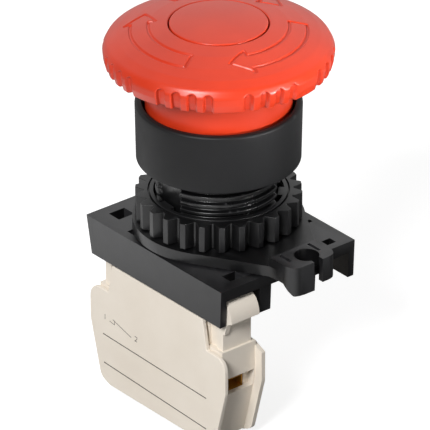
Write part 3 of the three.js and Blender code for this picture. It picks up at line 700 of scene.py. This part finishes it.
# ---------------------------------------------------------------- mounting base
BAY_PITCH = 10
BASE_BORE_R = 11.4
SLOTS = [(-15.7, -12.9, -11.8, -8.4), (-15.7, -12.9, 8.4, 11.8), (14.3, 16.6, -11.1, -8.2),
         (15.6, 17.3, 10.1, 12), (-8.6, -6.6, -13.4, -12), (-8.6, -6.6, 12, 13.4), (8.2, 9, 12.9, 13.7)]


def mounting_base():
    """A plate over three open bays, with slots through it in (x0, x1, y0, y1)."""
    x0, x1 = low("mounting_base").x, high("mounting_base").x
    bottom, top = low("mounting_base").z, high("mounting_base").z
    half_y = high("mounting_base").y
    lean, wall, plate, rib = 1.4, 1.3, 2.2, 2.5
    ceiling = top - plate
    side = [(x0, top), (x0 + lean, bottom), (x1 - 0.3, bottom), (x1, top)]
    base = raised("mounting_base_frame", side, -half_y, half_y, "y")
    for bay in (-1, 0, 1):
        y0 = -half_y + wall if bay == -1 else (bay - 0.5) * BAY_PITCH + rib / 2
        y1 = half_y - wall if bay == 1 else (bay + 0.5) * BAY_PITCH - rib / 2
        cut(base, block("bay", x0 + lean + wall, x1 + 1, y0, y1, bottom - 1, ceiling))
    cut(base, disc("bore", 0, 0, BASE_BORE_R, -16.5, top + 1, 96))
    cut(base, block("stroke", -3, 3, -13, 13, bottom - 1, ceiling + 0.1))
    for slot in SLOTS:
        cut(base, block("slot", *slot, ceiling - 1, top + 1))
    soft_edges(base, 0.2, 3)
    return finished(base, "operator", "mounting_base", BLACK)


mounting_base()


# ---------------------------------------------------------------- contact block
BLOCK_X = 1.2
BLOCK_HALF = 18.5
BLOCK_BOTTOM = -45.5
SHOULDER_Z = -27.0
TAPER_Z = -33.8
LEDGE_Z = -26.5
BODY_Y1 = -6.7
BODY_RECESS = 1.8
BODY_TAPER = 2.9
NECK_HALF = 12.6
LATCH_Y0 = -13.4
LATCH_Y1 = -7.2
CHAMBER_BOTTOM = -44.3
CLAMP_TOP = -35.3
WINDOW_TOP = -32
CONTACT_Y = -10.9
TERMINAL_OFFSET = 11.4


def plate_outline(shoulder):
    """A side plate of the block in (x, z): a widening neck, two shoulders and tapering sides."""
    top = low("mounting_base").z - 0.3
    one_side = [(12.35, top, 0.15), (13.5, SHOULDER_Z, 0.3), *shoulder, (BLOCK_HALF, TAPER_Z, 4),
                (15.65, -44.5, 2), (13.3, BLOCK_BOTTOM, 2)]
    right = [(BLOCK_X + a, z, r) for a, z, r in one_side]
    left = [(BLOCK_X - a, z, r) for a, z, r in one_side[::-1]]
    return rounded(right + left, 6)


ROUND_SHOULDER = [(BLOCK_HALF, SHOULDER_Z, 2.6)]
CUT_SHOULDER = [(15.7, SHOULDER_Z, 0.2), (BLOCK_HALF, SHOULDER_Z - 1.15, 0.3)]


def block_cover():
    y0, y1 = low("block_cover").y, high("block_cover").y
    cover = raised("block_cover_plate", plate_outline(ROUND_SHOULDER), y0, y1, "y")
    soft_edges(cover, 0.18, 3)
    return finished(cover, "operator", "block_cover", CREAM)


def latch_blade():
    """A thin blade whose snap head rounds over in one curve."""
    turn = np.linspace(0, math.pi / 2, 16)
    head = [(16.6 + 3.1 * math.cos(t), -20.3 + 3.85 * math.sin(t)) for t in turn]
    outline = [(15.7, SHOULDER_Z), (17.4, SHOULDER_Z), (17.4, -21.4), *head, (15.7, -16.9)]
    return raised("latch", outline, LATCH_Y0, LATCH_Y1, "y")


def latch_barb():
    """The small tapered nib on the outer edge of the blade, under the snap head."""
    outline = [(17.3, -20.9), (18.5, -20.9), (17.75, -23.2), (17.3, -23.2)]
    return raised("barb", outline, LATCH_Y0, LATCH_Y0 + 0.9, "y")


def housing_shell(front, back_y):
    """The body under its ledge, the back plate, the neck with its latch, and the lug underneath."""
    half = BLOCK_HALF - BODY_RECESS
    one_side = [(half, LEDGE_Z), (half, TAPER_Z), (half - BODY_TAPER, BLOCK_BOTTOM + 0.4)]
    body = [(BLOCK_X + a, z) for a, z in one_side] + [(BLOCK_X - a, z) for a, z in one_side[::-1]]
    shell = raised("block_housing_body", body, front, BODY_Y1 + 0.2, "y")
    join(shell, raised("back", plate_outline(CUT_SHOULDER), BODY_Y1, back_y, "y"),
         block("neck", BLOCK_X - NECK_HALF, BLOCK_X + NECK_HALF, front + 0.5, BODY_Y1 - 0.2, SHOULDER_Z, -18),
         block("neck end", BLOCK_X + NECK_HALF - 1, 15.9, front + 1, LATCH_Y1, SHOULDER_Z, -18.2),
         latch_blade(), latch_barb(),
         block("tab", -14.6, -13, front + 0.5, LATCH_Y1, SHOULDER_Z, -18))
    cut(shell, block("stroke", -3.6, 3.6, -15, -4, -24.4, -17))
    join(shell, block("lug", -3, 5, -13, -9, BLOCK_BOTTOM - 0.6, BLOCK_BOTTOM + 1))
    return shell


def hollow_middle(shell, open_y, deep):
    """The plunger's channel, the contact chamber and the two cored pockets in the neck."""
    cut(shell, block("channel", BLOCK_X - 2, BLOCK_X + 2, open_y, deep, -31, -23),
        block("chamber", BLOCK_X - 7.6, BLOCK_X + 7.6, open_y, deep, CHAMBER_BOTTOM, -28.6),
        block("core_1", BLOCK_X - 11.4, BLOCK_X - 4.6, open_y, deep, SHOULDER_Z, -19.2),
        block("core_2", BLOCK_X + 4.6, BLOCK_X + 11.4, open_y, deep, SHOULDER_Z, -19.2))


def hollow_end(shell, side, front, open_y, deep):
    """One terminal's room, its wire window and the hole for a screwdriver."""
    def span(a, b):
        return sorted((BLOCK_X + side * a, BLOCK_X + side * b))
    cut(shell, block("strip_slot", *span(7, 9), open_y, deep, -33.2, -32.2),
        block("terminal", *span(8.5, 15.3), open_y, deep, CLAMP_TOP - 1, -27.5),
        block("terminal foot", *span(8.5, 14.4), open_y, deep, CLAMP_TOP - 4.1, CLAMP_TOP),
        block("window", *span(15, 18), front + 0.2, BODY_Y1 - 0.2, CLAMP_TOP, WINDOW_TOP),
        disc("driver_hole", BLOCK_X + side * TERMINAL_OFFSET, CONTACT_Y, 2.3, BLOCK_BOTTOM - 1, -39.1, 40))


def block_housing():
    front, deep = low("block_cover").y + 0.9, -8
    housing = housing_shell(front, high("block_housing").y)
    hollow_middle(housing, front - 1, deep)
    for side in (-1, 1):
        hollow_end(housing, side, front, front - 1, deep)
    soft_edges(housing, 0.12, 2)
    return finished(housing, "operator", "block_housing", CREAM)


def stroke(name, start, end, width, y):
    """A printed line on the cover, from (x, z) to (x, z)."""
    start, end = np.array(start, float), np.array(end, float)
    along = (end - start) / np.linalg.norm(end - start)
    across = np.array([-along[1], along[0]]) * width / 2
    outline = [start - across, end - across, end + across, start + across]
    return raised(name, outline, y - 0.012, y + 0.02, "y")


def printed_marks():
    """Two rules, and a normally closed contact symbol between its terminal numbers."""
    y = low("block_cover").y
    thin, thick = 0.13, 0.2
    strokes = [
        ((-13.77, -35.82), (14.63, -36.46), thick),
        ((-13.53, -41.49), (14.59, -42.53), thick),
        ((-13.14, -32.7), (-13.14, -31.7), thin),
        ((-11.9, -32.55), (-10.5, -32.75), thin),
        ((-10.5, -32.75), (-10.5, -32.0), thin),
        ((-11.0, -31.9), (-5.9, -33.3), thin),
        ((-4.9, -32.6), (-4.3, -32.6), thin),
        ((-4.3, -32.6), (-4.3, -33.0), thin),
        ((-4.3, -33.0), (-4.9, -33.5), thin),
        ((-4.9, -33.5), (-4.3, -33.5), thin),
    ]
    for number, (start, end, width) in enumerate(strokes, 1):
        mark = stroke(f"printed_mark_{number:02d}", start, end, width, y)
        finished(mark, "operator", None, INK)


block_cover()
block_housing()
printed_marks()


# ---------------------------------------------------------------- springs and fixed contacts
def coil(name, radius, wire_r, z0, z1, turns, x=0, y=0):
    """A round wire wound along Z, with flat ends."""
    steps, around = int(turns * 36), 12
    t = np.linspace(0, 1, steps + 1)
    angle = TAU * turns * t
    rise = z1 - z0 - 2 * wire_r
    outward = np.stack([np.cos(angle), np.sin(angle), np.zeros_like(angle)], -1)
    along = np.stack([-np.sin(angle), np.cos(angle), np.full_like(angle, rise / (TAU * turns * radius))], -1)
    across = np.cross(along, outward)
    across /= np.linalg.norm(across, axis=1)[:, None]
    middle = outward * radius + np.stack([np.full_like(t, x), np.full_like(t, y), z0 + wire_r + rise * t], -1)
    points = []
    for j in range(around):
        a = TAU * j / around
        points.append(middle + wire_r * (math.cos(a) * outward + math.sin(a) * across))
    points = np.stack(points, 1).reshape(-1, 3)
    faces = []
    for i in range(steps):
        for j in range(around):
            k = (j + 1) % around
            faces.append((i * around + j, i * around + k, (i + 1) * around + k, (i + 1) * around + j))
    faces.append(tuple(range(around)))
    faces.append(tuple(range(steps * around, (steps + 1) * around)))
    return facing_out(mesh_piece(name, points, faces))


def pressed_spring(node, radius, wire_r, turns, x=0, y=0):
    """A compression spring that stands on the operator, with a mesh of its own."""
    z0, z1 = low(node).z, high(node).z
    spring = coil(node + "_wire", radius, wire_r, z0, z1, turns, x, y)
    finished(spring, "operator", node, STEEL)
    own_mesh(spring)


def fixed_contact(side, number):
    """A brass strip with a pad over the terminal and a cheek down the inside of the terminal's room."""
    node = f"fixed_contact_{number}"
    x = BLOCK_X + side * TERMINAL_OFFSET
    z0, z1 = low(node).z, high(node).z
    strip = block(node + "_strip", low(node).x, high(node).x, CONTACT_Y - 1.7, CONTACT_Y + 1.7, z0, z1)
    x0, x1 = sorted((x - side * 2.6, x + side * 3.5))
    join(strip, block("pad", x - 2.6, x + 2.6, low(node).y, -8.1, z0, z1),
         block("cheek", x0, x1, -8.26, -8.04, -36, z1))
    cut(strip, disc("screw hole", x, CONTACT_Y, 1.9, z0 - 1, z1 + 1, 40))
    soft_edges(strip, 0.05, 2)
    return finished(strip, "operator", node, BRASS)


pressed_spring("return_spring", 7, 0.5, 5)
pressed_spring("contact_spring", 1.9, 0.3, 5, BLOCK_X, CONTACT_Y)
fixed_contact(-1, 1)
fixed_contact(1, 2)


# ---------------------------------------------------------------- pieces kept from the frame
SLOT_MATERIALS = {"red_plastic": RED, "black_plastic": BLACK, "cream_plastic": CREAM, "rubber": RUBBER,
                  "steel": STEEL, "brass": BRASS, "silver": SILVER}
for subpart in frame["record"]["subparts"]:
    node = frame["nodes"][subpart["node"]]
    if node.hide_render:
        continue
    node.data.materials.clear()
    node.data.materials.append(SLOT_MATERIALS[subpart["material_slot"]])


# ---------------------------------------------------------------- stage, lights and camera
def floor_paint():
    """Near white to the camera, brighter at the front left in reflections, grey to soft light."""
    paint = bpy.data.materials.new("pale floor")
    paint.use_nodes = True
    nodes, links = paint.node_tree.nodes, paint.node_tree.links
    matt = nodes["Principled BSDF"]
    matt.inputs["Roughness"].default_value = 0.8
    matt.inputs["Specular IOR Level"].default_value = 0.1
    matt.inputs["Emission Color"].default_value = (1, 1, 1, 1)
    seen = nodes.new("ShaderNodeLightPath")
    shade = nodes.new("ShaderNodeMix")
    shade.data_type = "RGBA"
    shade.inputs["A"].default_value = (0.3, 0.3, 0.3, 1)
    shade.inputs["B"].default_value = (0.5, 0.5, 0.5, 1)
    links.new(seen.outputs["Is Camera Ray"], shade.inputs["Factor"])
    dim = nodes.new("ShaderNodeMix")
    dim.data_type = "RGBA"
    dim.inputs["B"].default_value = (0.03, 0.03, 0.03, 1)
    links.new(seen.outputs["Is Glossy Ray"], dim.inputs["Factor"])
    links.new(shade.outputs["Result"], dim.inputs["A"])
    links.new(dim.outputs["Result"], matt.inputs["Base Color"])

    place = nodes.new("ShaderNodeNewGeometry")

    def band(measure, start, end, low_glow, high_glow, across=None):
        """Glow that changes across a band of the floor, measured in metres from the object."""
        size = nodes.new("ShaderNodeVectorMath")
        size.operation = measure
        if across:
            size.inputs[1].default_value = across
        links.new(place.outputs["Position"], size.inputs[0])
        made = nodes.new("ShaderNodeMapRange")
        made.inputs["From Min"].default_value = start
        made.inputs["From Max"].default_value = end
        made.inputs["To Min"].default_value = low_glow
        made.inputs["To Max"].default_value = high_glow
        links.new(size.outputs["Value"], made.inputs["Value"])
        return made.outputs["Result"]

    def joined(operation, *values):
        made = nodes.new("ShaderNodeMath")
        made.operation = operation
        for number, value in enumerate(values):
            if isinstance(value, float):
                made.inputs[number].default_value = value
            else:
                links.new(value, made.inputs[number])
        return made.outputs[0]

    front = joined("MULTIPLY", band("DOT_PRODUCT", -0.005, 0.04, 0.02, 1, towards(0, 0)),
                   band("LENGTH", 0.08, 0.112, 0.25, 1))
    near = joined("MULTIPLY", front, band("LENGTH", 0.112, 0.135, 2.3, 0))
    far = band("LENGTH", 0.115, 0.14, 0, 0.45)
    reflected = joined("MULTIPLY", joined("ADD", near, far), seen.outputs["Is Glossy Ray"])
    glow = joined("MULTIPLY_ADD", seen.outputs["Is Camera Ray"], 0.75, reflected)
    links.new(glow, matt.inputs["Emission Strength"])
    return paint


def stage():
    floor_z = cad_low.z - 0.0002
    half = 1.6
    corners = [(-half, -half, floor_z), (half, -half, floor_z), (half, half, floor_z), (-half, half, floor_z)]
    data = bpy.data.meshes.new("floor")
    data.from_pydata(corners, [], [(0, 1, 2, 3)])
    floor = bpy.data.objects.new("floor", data)
    bpy.context.scene.collection.objects.link(floor)
    floor.data.materials.append(floor_paint())


def soft_box(name, azimuth, elevation, distance, size, power, target=(0, 0, -10), spread=180):
    light = bpy.data.lights.new(name, "AREA")
    light.shape = "DISK"
    light.size = size
    light.energy = power
    light.spread = math.radians(spread)
    lamp = bpy.data.objects.new(name, light)
    bpy.context.scene.collection.objects.link(lamp)
    away = towards(azimuth, elevation)
    lamp.location = (Vector(target) + PANEL_LIFT) * MM + away * distance
    lamp.rotation_euler = away.to_track_quat("Z", "Y").to_euler()
    return lamp


def towards(azimuth, elevation):
    """The direction from the object to a viewer at an azimuth and elevation in degrees."""
    a, e = math.radians(azimuth), math.radians(elevation)
    return Vector((math.sin(a) * math.cos(e), -math.cos(a) * math.cos(e), math.sin(e)))


def surroundings():
    """A white backdrop for the camera; for the object, bright behind it and dim in front."""
    world = bpy.data.worlds.new("studio")
    bpy.context.scene.world = world
    world.use_nodes = True
    nodes, links = world.node_tree.nodes, world.node_tree.links
    background = nodes["Background"]
    background.inputs["Color"].default_value = (1, 1, 1, 1)
    place = nodes.new("ShaderNodeTexCoord")
    facing = nodes.new("ShaderNodeVectorMath")
    facing.operation = "DOT_PRODUCT"
    facing.inputs[1].default_value = towards(CAMERA_AZIMUTH + 180, 35)
    links.new(place.outputs["Generated"], facing.inputs[0])
    glow = nodes.new("ShaderNodeMapRange")
    glow.inputs["From Min"].default_value = 0.1
    glow.inputs["From Max"].default_value = 0.95
    glow.inputs["To Min"].default_value = 0.1
    glow.inputs["To Max"].default_value = 0.85
    links.new(facing.outputs["Value"], glow.inputs["Value"])
    seen = nodes.new("ShaderNodeLightPath")
    strength = nodes.new("ShaderNodeMix")
    links.new(seen.outputs["Is Camera Ray"], strength.inputs["Factor"])
    links.new(glow.outputs["Result"], strength.inputs["A"])
    strength.inputs["B"].default_value = 1.05
    links.new(strength.outputs["Result"], background.inputs["Strength"])


CAMERA_AZIMUTH = 50.41
CAMERA_ELEVATION = 28.28
CAMERA_DISTANCE = 1.2
CAMERA_TARGET = (Vector((0, 0, -11.71)) + PANEL_LIFT) * MM


def camera():
    data = bpy.data.cameras.new("camera")
    data.sensor_width = 36
    data.lens = 579.7
    data.shift_x = -0.0086
    data.clip_start = 0.05
    eye = bpy.data.objects.new("camera", data)
    bpy.context.scene.collection.objects.link(eye)
    away = towards(CAMERA_AZIMUTH, CAMERA_ELEVATION)
    eye.location = CAMERA_TARGET + away * CAMERA_DISTANCE
    eye.rotation_euler = away.to_track_quat("Z", "Y").to_euler()
    bpy.context.scene.camera = eye


stage()
soft_box("key", 26, 36, 0.9, 0.3, 7.7)
soft_box("head light", 106, 4, 0.6, 0.05, 0.0095, target=(0, 0, 22), spread=5)
surroundings()
camera()
bpy.context.scene.view_settings.view_transform = "Standard"
